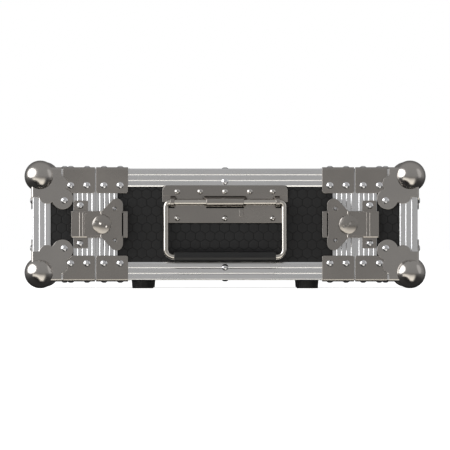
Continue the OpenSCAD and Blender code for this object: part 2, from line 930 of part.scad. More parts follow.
module latch_rotor() {
    dome_sphere = (cap_r * cap_r + dome_h * dome_h) / (2 * dome_h);
    color(steel) latch_place() {
        difference() {
            union() {
                latch_rod(rotor_x, 0, stake_r, 0.1, stake_t);
                latch_rod(rotor_x, 0, pivot_r, 0.1, ecc_low + 0.1);
                latch_rod(rotor_x + throw, 0, eccentric_r, ecc_low, cap_low + 0.1);
                latch_rod(rotor_x, 0, cap_r, cap_low, cap_top);
                intersection() {
                    translate([rotor_x, -(cap_top + dome_h - dome_sphere), 0])
                        sphere(dome_sphere);
                    latch_rod(rotor_x, 0, cap_r, cap_top - 0.1, cap_top + dome_h + 1);
                }
                wing_pin(wing_pin_r);
            }
            for (s = [0, 180])
                translate([rotor_x, -(cap_top + dome_h), 0]) rotate([0, -slot_angle + s, 0])
                    translate([0, 0, -slot_w / 2]) linear_extrude(slot_w) slot_half(s == 0);
        }
    }
}

// Half of the driver's slot in the cap; each half runs out in a slope at one end
module slot_half(outer) {
    start = slot_bridge / 2;
    end = start + slot_l / 2;
    a = outer ? 0 : slot_run;
    b = outer ? slot_run : 0;
    polygon([
        [start - a, -slot_deep], [end + b, -slot_deep], [end - b, slot_deep],
        [start + a, slot_deep]
    ]);
}

module wing_pin(r) {
    translate([rotor_x, -wing_h, -wing_arm_z]) cylinder(r = r, h = 2 * wing_arm_z);
}

// Where a line from point a touches a circle of radius r round point c, on its left
function tangent(a, c, r) =
    let (d = c - a, far = norm(d), turn = atan2(d[1], d[0]) + asin(r / far))
    a + sqrt(far * far - r * r) * [cos(turn), sin(turn)];

module wing_outline() {
    lobe = [wing_edge_x - wing_lobe_r, wing_lobe_z];
    touch = tangent([rotor_x, wing_arm_z], lobe, wing_lobe_r);
    polygon([
        [rotor_x, wing_arm_z], touch, lobe, [wing_edge_x, wing_lobe_z],
        [wing_edge_x, -wing_lobe_z], [lobe[0], -lobe[1]], [touch[0], -touch[1]],
        [rotor_x, -wing_arm_z]
    ]);
    for (s = [-1, 1]) translate([lobe[0], s * lobe[1]]) circle(wing_lobe_r);
}

module latch_wing() {
    around = cap_r + 0.5;
    color(steel) latch_place() difference() {
        union() {
            front_plate(wing_h - wing_t / 2, wing_h + wing_t / 2) wing_outline();
            for (s = [0, 1]) mirror([0, 0, s])
                translate([rotor_x, -wing_h, around + 0.2])
                    cylinder(r = knuckle_r, h = wing_arm_z - around - 0.2);
        }
        latch_rod(rotor_x, 0, around, wing_h - 3, wing_h + 3);
        front_box([wing_edge_x - wing_notch, wing_edge_x + cut], [wing_h - 3, wing_h + 3],
            [-latch_lip_half - 0.4, latch_lip_half + 0.4]);
        wing_pin(wing_pin_r + turn_clear);
        for (s = [-1, 1])
            latch_rod(latch_hole[0], s * latch_hole[1], wing_hole_r, wing_h - 3, wing_h + 3);
    }
}

module latch_hook() {
    tail = rotor_x + throw + eccentric_r + 2.7;
    rim_end = keeper_x[1] - 1;
    color(steel) latch_place() difference() {
        union() {
            front_plate(hook_low, hook_top)
                rounded_rect([hook_nose_x, tail], [-hook_half, hook_half], 1);
            front_box([hook_nose_x, hook_nose_x + hook_t], [hook_nose_low, hook_top],
                [-hook_half + 1, hook_half - 1]);
            front_plate(hook_top - 0.1, tongue_top) polygon([
                [hook_tongue_x, hook_tongue_half - 2], [hook_tongue_x + 2, hook_tongue_half],
                [tail, hook_tongue_half], [tail, -hook_tongue_half],
                [hook_tongue_x + 2, -hook_tongue_half], [hook_tongue_x, 2 - hook_tongue_half]
            ]);
            for (x = bead_x)
                translate([x, -hook_top + 0.3, -hook_half + 1.2])
                    cylinder(r = bead_r, h = 2 * hook_half - 2.4);
            for (s = [0, 1]) mirror([0, 0, s])
                translate([hook_nose_x + 1, -hook_top, hook_half]) rotate([90, 0, 90])
                    linear_extrude(rim_end - hook_nose_x - 1) polygon([
                        [0.1, -hook_rim_w], [-hook_rim_h[0], -hook_rim_w],
                        [-hook_rim_h[1], 0], [0.1, 0]
                    ]);
        }
        latch_rod(rotor_x + throw, 0, eccentric_r + turn_clear, hook_low - cut, hook_top + 2);
    }
}

// Covers, drawn at the left

module cover_wall(half_across, height) {
    x0 = -end_x + frame_in + slot_clear;
    x1 = -seam_x - seam_gap / 2 - rim_board_at;
    translate([x0, -half_across, height]) cube([x1 - x0, 2 * half_across, panel_t]);
}

module cover_walls() {
    half_z = mid_z - base_z - frame_in - slot_clear;
    color(laminate) difference() {
        union() {
            both_z() cover_wall(side_y - frame_in - slot_clear, top_z - board_in);
            both_y() translate([0, 0, mid_z]) rotate([90, 0, 0])
                cover_wall(half_z, side_y - board_in);
        }
        cover_brace_fixings(true);
        cover_corner_fixings(true);
        cover_rim_fixings(true);
        cover_end_fixings(true);
        keeper_fixings(true);
    }
}

module cover_end_panel() {
    half_y = side_y - frame_in - slot_clear;
    low = base_z + frame_in + slot_clear;
    color(laminate) difference() {
        translate([-end_x + skin_t, -half_y, low])
            cube([panel_t, 2 * half_y, 2 * (mid_z - low)]);
        cover_corner_fixings(true);
        cover_end_fixings(true);
    }
}

module cover_long_edges() {
    color(aluminium) difference() {
        both_y() both_z()
            long_edge(-end_x, -seam_x - seam_gap / 2 - rim_w - butt_gap);
        both_y() both_z() translate([-end_x, -side_y, base_z])
            for (turns = [1, 2]) along_edge(turns) edge_cutter(edge_leg);
        cover_brace_fixings(true);
    }
}

module cover_end_edges() {
    start = edge_leg + butt_gap;
    color(aluminium) difference() {
        union() {
            both_y() translate([-end_x, -side_y, base_z + start])
                linear_extrude(case_h - 2 * start) edge_profile();
            both_z() translate([-end_x, side_y - start, base_z]) rotate([90, 0, 0])
                linear_extrude(case_w - 2 * start) edge_profile();
        }
        cover_end_fixings(true);
    }
}

module cover_rim() {
    color(aluminium) difference() {
        translate([-seam_x - seam_gap / 2, 0, 0]) mirror([1, 0, 0])
            rim_ring() tongue_profile();
        cover_brace_fixings(true);
        cover_rim_fixings(true);
        keeper_fixings(true);
    }
}

// Outline of one leg of a ball corner, grown by a gap where another plate meets it
module corner_outline(grow = 0) {
    square(corner_reach + grow);
    translate([small_lobe_far, small_lobe_near]) circle(small_lobe_r + grow);
    translate([small_lobe_near, small_lobe_far]) circle(small_lobe_r + grow);
    translate([large_lobe_at, large_lobe_at]) circle(lobe_r + grow);
}

// Turns children about the corner's diagonal, from x to y and from y to z
module along_edge(turns) {
    if (turns == 0) children();
    if (turns == 1) rotate([90, 0, 90]) children();
    if (turns == 2) rotate([90, 0, 90]) rotate([90, 0, 90]) children();
}

module three_faces() {
    for (turns = [0 : 2]) along_edge(turns) children();
}

// The case's own corner with its rounded edges
module rounded_octant() {
    difference() {
        cube(3 * corner_reach);
        three_faces() edge_cutter(3 * corner_reach);
    }
}

// Ball corner with its three legs on the faces x = 0, y = 0 and z = 0
module ball_corner() {
    difference() {
        union() {
            three_faces() {
                translate([0, 0, -plate_t]) linear_extrude(plate_t) intersection() {
                    corner_outline();
                    translate([edge_r, edge_r]) square(3 * corner_reach);
                }
                bend(corner_reach);
            }
            translate([ball_in, ball_in, ball_in]) sphere(ball_r);
        }
        translate([ball_in, ball_in, ball_in]) sphere(ball_r - ball_wall);
        rounded_octant();
    }
    // the lobe is thick enough to reach the plywood between the aluminium edges
    three_faces() translate([0, 0, -cut]) linear_extrude(skin_t + cut) intersection() {
        corner_outline();
        translate([edge_leg + plate_gap, edge_leg + plate_gap]) square(corner_reach);
    }
}

module cover_ball_corners() {
    color(steel) difference() {
        both_y() both_z() translate([-end_x, -side_y, base_z]) ball_corner();
        cover_corner_fixings(true);
    }
}

module cover_braces() {
    color(steel) difference() {
        both_y() both_z() translate([-end_x, -side_y, base_z]) difference() {
            translate([cover_depth - brace_at - brace_l, 0, 0]) brace();
            translate([0, 0, -2 * plate_t]) linear_extrude(2 * plate_t)
                corner_outline(butt_gap);
            rotate([90, 0, 0]) linear_extrude(2 * plate_t) corner_outline(butt_gap);
            translate([0, -2 * plate_t, -2 * plate_t])
                cube([corner_reach + butt_gap, 3 * plate_t + edge_r, 3 * plate_t + edge_r]);
        }
        cover_brace_fixings(true);
    }
}

module cover_keepers() {
    lip_x = hook_nose_x + hook_t + keeper_lip_gap;
    color(steel) difference() {
        both_y() latch_place() {
            front_plate(0, keeper_t) {
                rounded_rect(keeper_x, [-keeper_half, keeper_half], 1.5);
                translate([lip_x, -keeper_lip_half])
                    square([keeper_x[0] - lip_x + 1, 2 * keeper_lip_half]);
            }
            front_box([lip_x, lip_x + keeper_t], [0, keeper_lip_top],
                [-keeper_lip_half, keeper_lip_half]);
        }
        keeper_fixings(true);
    }
}

module cover_rivets() {
    color(bright_steel) {
        cover_brace_fixings(false);
        cover_corner_fixings(false);
        cover_rim_fixings(false);
        cover_end_fixings(false);
        keeper_fixings(false);
    }
}

module cover_foam() {
    half_y = side_y - foam_in;
    half_z = case_h / 2 - foam_in;
    color(foam_grey) translate([-end_x + board_in, -half_y, mid_z - half_z])
        cube([foam_t, 2 * half_y, 2 * half_z]);
}

// Nodes

body_top_panel();
body_bottom_panel();
body_front_panel();
mirror([0, 1, 0]) body_front_panel();  // body_back_panel
body_long_edges();
body_left_rim();
mirror([1, 0, 0]) body_left_rim();  // body_right_rim
body_braces();
body_rivets();
left_rack_rails();
mirror([1, 0, 0]) left_rack_rails();  // right_rack_rails
rail_screws();
rubber_feet();
foot_screws();
handle_rivets();

for (back = [false, true]) mirror([0, back ? 1 : 0, 0]) {
    wall = back ? "back" : "front";
    handle_base();
    handle_strip();
    handle_bail();
    handle_grip();
    for (right = [false, true]) mirror([right ? 1 : 0, 0, 0]) {
        latch = str(wall, right ? "_right" : "_left", "_latch");
        latch_base();
        latch_rotor();
        latch_wing();
        latch_hook();
    }
}

for (right = [false, true]) mirror([right ? 1 : 0, 0, 0]) {
    cover = right ? "right_cover" : "left_cover";
    cover_end_panel();
    cover_walls();
    cover_long_edges();
    cover_end_edges();
    cover_rim();
    cover_ball_corners();
    cover_braces();
    cover_keepers();
    cover_rivets();
    cover_foam();
}
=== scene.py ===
# %% [markdown]
# A rack case for a wireless microphone set, seen square on from the side with the
# handle. Almost every part of it is stamped steel, extruded aluminium or faced
# plywood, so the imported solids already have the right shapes. What they lack is
# the finish: soft edges, grain, plating, the hexagons pressed into the black
# facing. Each step below takes one kind of piece and gives it that finish.

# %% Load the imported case
import json
import math

import bmesh
import bpy
from mathutils import Matrix, Vector

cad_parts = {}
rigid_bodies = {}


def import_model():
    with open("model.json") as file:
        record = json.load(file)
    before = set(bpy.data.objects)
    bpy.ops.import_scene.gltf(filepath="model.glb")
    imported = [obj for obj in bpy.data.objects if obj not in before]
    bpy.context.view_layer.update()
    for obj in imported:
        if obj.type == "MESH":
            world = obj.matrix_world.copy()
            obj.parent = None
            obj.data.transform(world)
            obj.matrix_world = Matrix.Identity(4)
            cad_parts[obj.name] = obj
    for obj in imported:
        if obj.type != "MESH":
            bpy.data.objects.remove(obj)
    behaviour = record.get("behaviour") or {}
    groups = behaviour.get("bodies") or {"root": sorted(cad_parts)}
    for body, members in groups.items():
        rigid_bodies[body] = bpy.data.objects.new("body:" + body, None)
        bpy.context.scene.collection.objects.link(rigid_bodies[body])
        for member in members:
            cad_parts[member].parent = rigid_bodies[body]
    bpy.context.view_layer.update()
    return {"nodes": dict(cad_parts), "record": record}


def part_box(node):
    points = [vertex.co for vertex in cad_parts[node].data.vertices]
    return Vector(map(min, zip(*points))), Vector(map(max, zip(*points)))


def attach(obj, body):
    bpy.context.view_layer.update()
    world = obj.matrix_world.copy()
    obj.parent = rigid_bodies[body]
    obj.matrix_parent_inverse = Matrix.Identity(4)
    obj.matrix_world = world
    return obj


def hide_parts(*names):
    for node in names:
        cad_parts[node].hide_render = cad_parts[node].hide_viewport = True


for leftover in list(bpy.data.objects):
    bpy.data.objects.remove(leftover)

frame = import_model()
MM = 0.001

# %% [markdown]
# The case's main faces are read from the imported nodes, so the scene follows the
# part. Two small sizes that no node's box shows are typed: how wide the leg of an
# edge extrusion is, where the black facing starts, and how deep that facing lies.

# %% Measure the case
edge_low, edge_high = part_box("left_cover_end_edges")
_, long_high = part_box("body_long_edges")
END_X = -edge_low.x
SIDE_Y = edge_high.y
BASE_Z = edge_low.z
TOP_Z = edge_high.z
MID_Z = (BASE_Z + TOP_Z) / 2
BODY_HALF = long_high.x
EDGE_LEG = 19.6 * MM
FACING_DEPTH = 1.5 * MM
print("case over the aluminium:", round(2 * END_X, 4), round(2 * SIDE_Y, 4),
      round(TOP_Z - BASE_Z, 4))

# %% [markdown]
# The photograph shows hardly any perspective: parallel edges stay parallel, and
# no top or end face shows. So the camera stands twenty-two metres off, square to
# the wall with the handle, and its lens is long enough for 486 mm of that wall to
# fill the picture. Any farther off, a turn round the case would put it behind
# the camera's far limit.

# %% Camera
DISTANCE = 22
PICTURE_WIDTH = 0.486
CAMERA_X = -0.0001
CAMERA_Z = 0.0686
lens = bpy.data.cameras.new("long_lens")
lens.sensor_width = 36
lens.lens = lens.sensor_width * (DISTANCE - SIDE_Y) / PICTURE_WIDTH
lens.clip_end = 4 * DISTANCE
camera = bpy.data.objects.new("camera", lens)
bpy.context.scene.collection.objects.link(camera)
camera.location = (CAMERA_X, -DISTANCE, CAMERA_Z)
camera.rotation_euler = (math.radians(90), 0, 0)
bpy.context.scene.camera = camera
print("camera at", tuple(round(c, 4) for c in camera.location))

# %% [markdown]
# Every finish is a node material. What several of them share, such as the fine
# grain left by rolling, brushing or moulding and the faint patches of handling,
# is one node group with its own inputs. The group only puts out colours, numbers
# and a height; the shader itself stays in each material, where its fixed values
# are set straight on its sockets.

# %% Shared node group: grain and handling marks
def new_group(name, inputs, outputs):
    """A node group with named sockets, and its two end nodes."""
    tree = bpy.data.node_groups.new(name, "ShaderNodeTree")
    for label, kind, value in inputs:
        socket = tree.interface.new_socket(name=label, in_out="INPUT", socket_type=kind)
        socket.default_value = value
    for label, kind in outputs:
        tree.interface.new_socket(name=label, in_out="OUTPUT", socket_type=kind)
    return tree, tree.nodes.new("NodeGroupInput"), tree.nodes.new("NodeGroupOutput")


def math_node(tree, operation, *values):
    """A math node fed by links or plain numbers."""
    node = tree.nodes.new("ShaderNodeMath")
    node.operation = operation
    for socket, value in zip(node.inputs, values):
        if isinstance(value, (int, float)):
            socket.default_value = value
        else:
            tree.links.new(value, socket)
    return node.outputs[0]


def noise(tree, vector, scale, detail, roughness=0.5):
    """A noise texture; its scale is a number or a link."""
    node = tree.nodes.new("ShaderNodeTexNoise")
    tree.links.new(vector, node.inputs["Vector"])
    if isinstance(scale, (int, float)):
        node.inputs["Scale"].default_value = scale
    else:
        tree.links.new(scale, node.inputs["Scale"])
    node.inputs["Detail"].default_value = detail
    node.inputs["Roughness"].default_value = roughness
    return node.outputs["Fac"]


def centred(tree, value, amount):
    """value, about 0.5, turned into one plus or minus about amount."""
    spread = math_node(tree, "SUBTRACT", value, 0.5)
    spread = math_node(tree, "MULTIPLY", spread, amount)
    return math_node(tree, "MULTIPLY_ADD", spread, 4.0, 1.0)


grain_group, ends_in, ends_out = new_group(
    "grain_and_marks",
    [
        ("Vector", "NodeSocketVector", (0, 0, 0)),
        ("Stretch", "NodeSocketVector", (1000, 1000, 1000)),
        ("Colour", "NodeSocketColor", (0.5, 0.5, 0.5, 1)),
        ("Grain", "NodeSocketFloat", 0.05),
        ("Patch Scale", "NodeSocketFloat", 30.0),
        ("Patch", "NodeSocketFloat", 0.05),
        ("Roughness", "NodeSocketFloat", 0.3),
        ("Roughness Shift", "NodeSocketFloat", 0.1),
    ],
    [
        ("Colour", "NodeSocketColor"),
        ("Roughness", "NodeSocketFloat"),
        ("Height", "NodeSocketFloat"),
    ],
)
stretched = grain_group.nodes.new("ShaderNodeVectorMath")
stretched.operation = "MULTIPLY"
grain_group.links.new(ends_in.outputs["Vector"], stretched.inputs[0])
grain_group.links.new(ends_in.outputs["Stretch"], stretched.inputs[1])
fine = noise(grain_group, stretched.outputs[0], 1.0, 3)
patches = noise(grain_group, ends_in.outputs["Vector"], ends_in.outputs["Patch Scale"], 4)
shade = math_node(
    grain_group, "MULTIPLY",
    centred(grain_group, fine, ends_in.outputs["Grain"]),
    centred(grain_group, patches, ends_in.outputs["Patch"]),
)
tinted = grain_group.nodes.new("ShaderNodeVectorMath")
tinted.operation = "SCALE"
grain_group.links.new(ends_in.outputs["Colour"], tinted.inputs[0])
grain_group.links.new(shade, tinted.inputs["Scale"])
rough_spread = math_node(
    grain_group, "MULTIPLY",
    math_node(grain_group, "SUBTRACT", patches, 0.5), ends_in.outputs["Roughness Shift"],
)
rough = math_node(
    grain_group, "MULTIPLY_ADD", rough_spread, 3.0, ends_in.outputs["Roughness"])
grain_group.links.new(tinted.outputs[0], ends_out.inputs["Colour"])
grain_group.links.new(rough, ends_out.inputs["Roughness"])
grain_group.links.new(fine, ends_out.inputs["Height"])
print("group", grain_group.name, "with", len(grain_group.nodes), "nodes")

# %% [markdown]
# A metal here is a Principled shader at full Metallic. Its colour, roughness and
# the bump of its grain come from the group. The grain's stretch says how many
# grains fit in a metre along X, Y and Z: few along the way the metal was drawn
# or brushed, and many across it. The black facing, rubber and powder coat use
# the same recipe with Metallic at zero.

# %% Material recipe
def finish_material(name, colour, roughness, stretch, metallic=0.0, grain=0.05,
                    patch=0.05, patch_scale=30.0, roughness_shift=0.1,
                    bump=0.02, bump_strength=0.5, **fixed):
    """A procedural material; bump is the grain's depth in millimetres."""
    material = bpy.data.materials.new(name)
    material.use_nodes = True
    tree = material.node_tree
    tree.nodes.clear()
    output = tree.nodes.new("ShaderNodeOutputMaterial")
    shader = tree.nodes.new("ShaderNodeBsdfPrincipled")
    tree.links.new(shader.outputs["BSDF"], output.inputs["Surface"])
    place = tree.nodes.new("ShaderNodeTexCoord")
    group = tree.nodes.new("ShaderNodeGroup")
    group.node_tree = grain_group
    tree.links.new(place.outputs["Object"], group.inputs["Vector"])
    group.inputs["Stretch"].default_value = stretch
    group.inputs["Colour"].default_value = (*colour, 1)
    group.inputs["Grain"].default_value = grain
    group.inputs["Patch Scale"].default_value = patch_scale
    group.inputs["Patch"].default_value = patch
    group.inputs["Roughness"].default_value = roughness
    group.inputs["Roughness Shift"].default_value = roughness_shift
    tree.links.new(group.outputs["Colour"], shader.inputs["Base Color"])
    tree.links.new(group.outputs["Roughness"], shader.inputs["Roughness"])
    relief = tree.nodes.new("ShaderNodeBump")
    relief.inputs["Strength"].default_value = bump_strength
    relief.inputs["Distance"].default_value = bump * MM
    tree.links.new(group.outputs["Height"], relief.inputs["Height"])
    tree.links.new(relief.outputs["Normal"], shader.inputs["Normal"])
    shader.inputs["Metallic"].default_value = metallic
    for socket, value in fixed.items():
        shader.inputs[socket].default_value = value
    return material


# %% [markdown]
# Satin nickel on the plates, latches and handles is a warm, darkish grey. The
# balls are the same plate, buffed brighter. The bails' wire is the same plate,
# polished a little smoother and painted paler: a painted highlight that stands in
# for light from above. Rivets are zinc, cooler and paler. The extrusions are
# clear-anodised aluminium, paler still, drawn through a die, so their fine lines
# run along each bar: one material for each of the three directions.

# %% Metals
DRAWN = 12
FINE = 2600
metals = {
    "hardware": finish_material(
        "satin_nickel", (0.40, 0.375, 0.35), 0.24, (900, 900, 900), metallic=1.0,
        grain=0.035, patch=0.05, patch_scale=22, roughness_shift=0.1, bump=0.006),
    "ball_corner": finish_material(
        "bright_nickel", (0.49, 0.465, 0.44), 0.19, (700, 700, 700), metallic=1.0,
        grain=0.02, patch=0.04, patch_scale=35, roughness_shift=0.08, bump=0.002),
    # The wire's nickel is painted paler than the plates': a painted highlight for light
    # from above.
    "wire": finish_material(
        "wire_nickel_painted_highlight", (0.62, 0.59, 0.55), 0.2, (900, 900, 900), metallic=1.0,
        grain=0.03, patch=0.04, patch_scale=40, roughness_shift=0.08, bump=0.004),
    "handle_rivet": finish_material(
        "buffed_nickel", (0.56, 0.54, 0.52), 0.16, (900, 900, 900), metallic=1.0,
        grain=0.03, patch=0.04, patch_scale=60, roughness_shift=0.08, bump=0.006),
    "rivet": finish_material(
        "bright_zinc", (0.80, 0.80, 0.82), 0.24, (900, 900, 900), metallic=1.0,
        grain=0.03, patch=0.05, patch_scale=70, roughness_shift=0.1, bump=0.006),
    "screw": finish_material(
        "dull_zinc", (0.62, 0.62, 0.64), 0.3, (900, 900, 900), metallic=1.0,
        grain=0.05, patch=0.06, patch_scale=90, roughness_shift=0.1, bump=0.01),
}
aluminium_along = [
    finish_material(
        f"anodised_aluminium_{axis}", (0.86, 0.86, 0.87), 0.27, stretch, metallic=1.0,
        grain=0.012, patch=0.02, patch_scale=14, roughness_shift=0.06, bump=0.002)
    for axis, stretch in (
        ("x", (DRAWN, FINE, FINE)),
        ("y", (FINE, DRAWN, FINE)),
        ("z", (FINE, FINE, DRAWN)))
]
print("metals:", len(metals) + len(aluminium_along))

# %% [markdown]
# The black facing is a phenolic film, pressed with hexagons: matte, with a skin
# like fine leather. The ground between the hexagons is a touch darker than their
# faces. The grips' rubber is smooth and takes a soft shine. The feet's rubber is
# rougher and painted greyer: painted light that brightens feet standing in the case's
# shadow. The rails' powder coat shows orange peel, and foam is all fine open cells,
# so its bump is deep and its grain coarse.

# %% Black finishes
blacks = {
    "laminate": finish_material(
        "pressed_facing_ground", (0.007, 0.007, 0.0073), 0.6, (2200, 2200, 2200),
        grain=0.15, patch=0.1, patch_scale=18, bump=0.05, **{"Specular IOR Level": 0.3}),
    "hexagon": finish_material(
        "pressed_facing_hexagon", (0.016, 0.016, 0.0165), 0.5, (1800, 1800, 1800),
        grain=0.12, patch=0.1, patch_scale=18, roughness_shift=0.12, bump=0.06,
        **{"Specular IOR Level": 0.35}),
    "rubber": finish_material(
        "smooth_rubber", (0.011, 0.011, 0.0115), 0.36, (1500, 1500, 1500),
        grain=0.1, patch=0.12, patch_scale=45, bump=0.03),
    # The feet's rubber is painted paler: painted light for the shadow they stand in under
    # the case.
    "foot": finish_material(
        "foot_rubber_painted_paler", (0.05, 0.05, 0.051), 0.55, (1500, 1500, 1500),
        grain=0.12, patch=0.15, patch_scale=45, bump=0.05),
    "rail": finish_material(
        "black_powder_coat", (0.028, 0.028, 0.029), 0.45, (900, 900, 900),
        grain=0.06, patch=0.06, patch_scale=40, bump=0.12),
    "foam": finish_material(
        "charcoal_foam", (0.055, 0.055, 0.06), 0.95, (650, 650, 650),
        grain=0.45, patch=0.12, patch_scale=25, bump=0.9, bump_strength=0.9),
}
print("black finishes:", len(blacks))

# %% [markdown]
# Pressed and drawn parts have no knife edges. To soften them, a piece is made as
# a copy of its CAD node: its loose triangles are merged, flat areas become single
# faces, a bevel rounds the sharp outer edges, and only then are the flats cut into
# triangles again, because a bevel folds thin triangles over. Inner corners stay as
# they are. The copy stands for the node, which stays for the physics, and rides on
# the same body.

# %% Helper that finishes a copy of a CAD node
MERGE = 1e-6
FLAT_ANGLE = math.radians(0.6)
SHARP_ANGLE = math.radians(35)
BEND_SHARE = 8
body_of_node = {
    node: body for body, nodes in frame["record"]["behaviour"]["bodies"].items()
    for node in nodes
}


def link_piece(mesh, name, body):
    """A finished mesh as a piece that rides on a body."""
    piece = bpy.data.objects.new(name, mesh)
    bpy.context.scene.collection.objects.link(piece)
    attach(piece, body)
    return piece


def mark_smooth(bm, degrees):
    """Smooth faces; crisp where they meet sharply, or where a flat starts to bend."""
    for face in bm.faces:
        face.smooth = True
    for edge in bm.edges:
        if len(edge.link_faces) != 2:
            continue
        turn = edge.calc_face_angle(0)
        small, large = sorted(face.calc_area() for face in edge.link_faces)
        at_bend = turn > math.radians(1) and large > BEND_SHARE * small
        edge.smooth = turn < math.radians(degrees) and not at_bend


def round_edges(bm, width, segments, shortest, longest):
    """Rounds the sharp outer edges and leaves the rest of each flat as it was."""
    sharp = [e for e in bm.edges
             if e.is_convex and e.calc_face_angle(0) > SHARP_ANGLE
             and shortest <= e.calc_length() < longest]
    rounded = bmesh.ops.bevel(
        bm, geom=sharp, offset=width * MM, offset_type="OFFSET", affect="EDGES",
        segments=segments, profile=0.5, material=-1, clamp_overlap=False,
        face_strength_mode="ALL")
    for face in rounded["faces"]:
        face.smooth = True
        for edge in face.edges:
            edge.smooth = edge.calc_face_angle(0) < math.radians(50)
    bmesh.ops.dissolve_degenerate(bm, edges=bm.edges, dist=MERGE)


def flatten_shading(piece):
    """Large flat faces keep their own normal, and only the rounded edges blend."""
    weighted = piece.modifiers.new("flat_faces", "WEIGHTED_NORMAL")
    weighted.mode = "FACE_AREA"
    weighted.weight = 100
    weighted.keep_sharp = True
    weighted.use_face_influence = True
    return weighted


def finished(node, suffix, edge=0.0, materials=None, chooser=None, segments=2,
             shortest=0.0, longest=10.0, crease=32):
    """A merged copy of a CAD node with soft edges, standing for that node.

    Only an edge from shortest to longest metres long is rounded. Faces that meet
    at more than crease degrees keep a crisp line between them.
    """
    source = frame["nodes"][node]
    slot = source.data.materials[0].name
    bm = bmesh.new()
    bm.from_mesh(source.data)
    bmesh.ops.remove_doubles(bm, verts=bm.verts, dist=MERGE)
    bmesh.ops.dissolve_limit(bm, angle_limit=FLAT_ANGLE, verts=bm.verts, edges=bm.edges)
    mark_smooth(bm, crease)
    if edge:
        round_edges(bm, edge, segments, shortest, longest)
    for face in bm.faces:
        face.material_index = chooser(face) if chooser else 0
    bmesh.ops.triangulate(bm, faces=bm.faces, quad_method="BEAUTY", ngon_method="BEAUTY")
    mesh = bpy.data.meshes.new(f"{node}_{suffix}")
    bm.to_mesh(mesh)
    bm.free()
    for material in materials or [metals.get(slot) or blacks[slot]]:
        mesh.materials.append(material)
    piece = link_piece(mesh, mesh.name, body_of_node[node])
    flatten_shading(piece)
    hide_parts(node)
    return piece


# %% [markdown]
# The extrusions come first, as they draw the case's outline. One node holds bars
# that run different ways, so each face takes the material of its own bar. At the
# mitred rims a face belongs to the upright bar when it lies nearer the case's
# side than its top or bottom. Only a bar's long edges are rounded: its sawn ends
# stay crisp, so that the fine grooves run cleanly to them.

# %% Aluminium extrusions
SHORT_BAR = 30 * MM
BAR_EDGE = 0.2
GROOVE_CREASE = 18
ALONG_X, ALONG_Y, ALONG_Z = range(3)


def long_bar(face):
    """Bars along the case are drawn along X."""
    return ALONG_X


def ring_bar(face):
    """The finish of a face on a ring of bars: across the case, or upright."""
    centre = face.calc_center_median()
    to_side = SIDE_Y - abs(centre.y)
    to_top = (TOP_Z - BASE_Z) / 2 - abs(centre.z - MID_Z)
    return ALONG_Z if to_side < to_top else ALONG_Y


extrusions = []
for node in ("body_long_edges", "left_cover_long_edges", "right_cover_long_edges"):
    extrusions.append(finished(
        node, "drawn", BAR_EDGE, aluminium_along, long_bar, shortest=SHORT_BAR,
        crease=GROOVE_CREASE))
for node in ("body_left_rim", "body_right_rim", "left_cover_rim", "right_cover_rim",
             "left_cover_end_edges", "right_cover_end_edges"):
    extrusions.append(finished(
        node, "drawn", BAR_EDGE, aluminium_along, ring_bar, shortest=SHORT_BAR,
        crease=GROOVE_CREASE))
print("extrusions:", len(extrusions))

# %% [markdown]
# The faced plywood shows between the extrusions. Its edges sit in their slots, so
# nothing of it needs rounding: the CAD panels stay as they are and take the
# facing's ground as their material. The slots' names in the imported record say
# which finish each node has.

# %% Panels keep their CAD mesh
kept = 0
for node, source in frame["nodes"].items():
    if node.endswith(("_panel", "_walls")):
        source.data.materials[0] = blacks["laminate"]
        kept += 1
print("panels with the facing's ground:", kept)

# %% [markdown]
# The hexagons are real relief: flat six-sided tiles on a staggered grid, cut off
# where an extrusion covers the panel, raised a little and chamfered. Six corners
# come from a circle with six segments. The tiles under the handle's plates are
# left out.

# %% Pressed hexagons
HEX_PITCH = 10.5 * MM
HEX_GAP = 0.9 * MM
HEX_RISE = 0.22 * MM
HEX_CHAMFER = 0.4 * MM
HEX_ROOT = 0.05 * MM
SMALLEST_TILE = 6 * MM * MM
HEX_SHIFT = (-0.4 * MM, -3.6 * MM)


